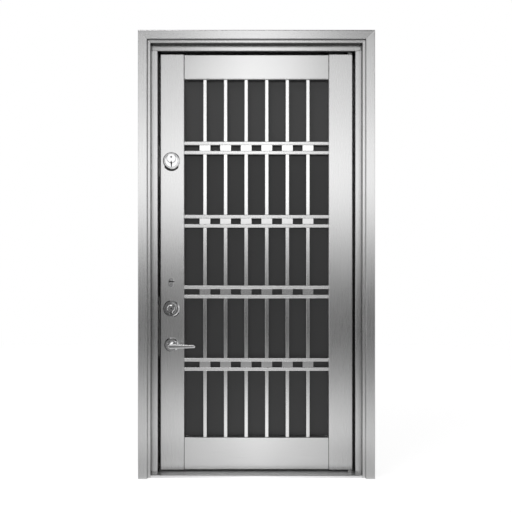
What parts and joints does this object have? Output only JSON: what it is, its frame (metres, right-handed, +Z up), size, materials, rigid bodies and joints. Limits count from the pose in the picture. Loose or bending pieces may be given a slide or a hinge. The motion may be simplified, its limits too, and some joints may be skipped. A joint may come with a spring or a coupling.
{
  "type": "steel security door in its frame",
  "caption": "Hinged steel entrance door in a stepped frame, with a barred grille over a dark panel, round lock plates and a lever handle.",
  "frame": {"origin": "underside of the threshold, midway between the jambs, in the plane of the leaf's outer face", "axes": "+X to the right seen from outside, +Y inwards, +Z up"},
  "size_m": [1.11, 0.197, 2.1],
  "materials": {
    "frame_steel": "satin brushed stainless steel",
    "leaf_steel": "satin brushed stainless steel",
    "grille_steel": "smoother stainless tube",
    "dark_panel": "satin dark grey",
    "lock_chrome": "polished chrome plate",
    "lock_steel": "plain bright steel",
    "seal_rubber": "matt black rubber"
  },
  "bodies": {
    "frame": {"casing_left": "frame_steel", "casing_right": "frame_steel", "casing_top": "frame_steel", "inner_post_left": "frame_steel", "inner_post_right": "frame_steel", "inner_header": "frame_steel", "threshold": "frame_steel", "stop_left": "frame_steel", "stop_right": "frame_steel", "stop_top": "frame_steel", "door_seal": "seal_rubber", "upper_strike_plate": "lock_steel", "lower_strike_plate": "lock_steel", "lower_pivot": "lock_steel", "upper_pivot": "lock_steel"},
    "leaf": {"lock_stile": "leaf_steel", "hinge_stile": "leaf_steel", "top_rail": "leaf_steel", "bottom_rail": "leaf_steel", "side_beads": "leaf_steel", "cross_beads": "leaf_steel", "crossbar_pair_1": "grille_steel", "crossbar_pair_2": "grille_steel", "crossbar_pair_3": "grille_steel", "crossbar_pair_4": "grille_steel", "spacer_blocks": "grille_steel", "bar_tier_1": "grille_steel", "bar_tier_2": "grille_steel", "bar_tier_3": "grille_steel", "bar_tier_4": "grille_steel", "bar_tier_5": "grille_steel", "backing_panel": "dark_panel", "upper_lock_rose": "lock_chrome", "upper_lock_cylinder": "lock_chrome", "lower_lock_rose": "lock_chrome", "lower_lock_cylinder": "lock_chrome", "keyhole_cover": "lock_chrome", "lever_rose": "lock_chrome", "inner_lever_rose": "lock_chrome", "upper_inner_rose": "lock_chrome", "lower_inner_rose": "lock_chrome", "upper_thumb_turn": "lock_chrome", "lower_thumb_turn": "lock_chrome", "upper_lock_case": "lock_steel", "lower_lock_case": "lock_steel", "lower_pivot_block": "lock_steel", "upper_pivot_block": "lock_steel"},
    "lever": {"lever_outer": "lock_chrome", "lever_inner": "lock_chrome", "spindle": "lock_steel"}
  },
  "joints": [
    {"name": "leaf_hinge", "type": "hinge", "parent": "frame", "child": "leaf", "pos_m": [0.4515, 0.01, 0], "axis": [0, 0, 1], "range_deg": [0, 90]},
    {"name": "lever_turn", "type": "hinge", "parent": "leaf", "child": "lever", "pos_m": [-0.4075, 0.025, 0.617], "axis": [0, 1, 0], "range_deg": [0, 45], "stiffness_Nm_per_rad": 1.2, "springref_deg": -45.84}
  ]
}
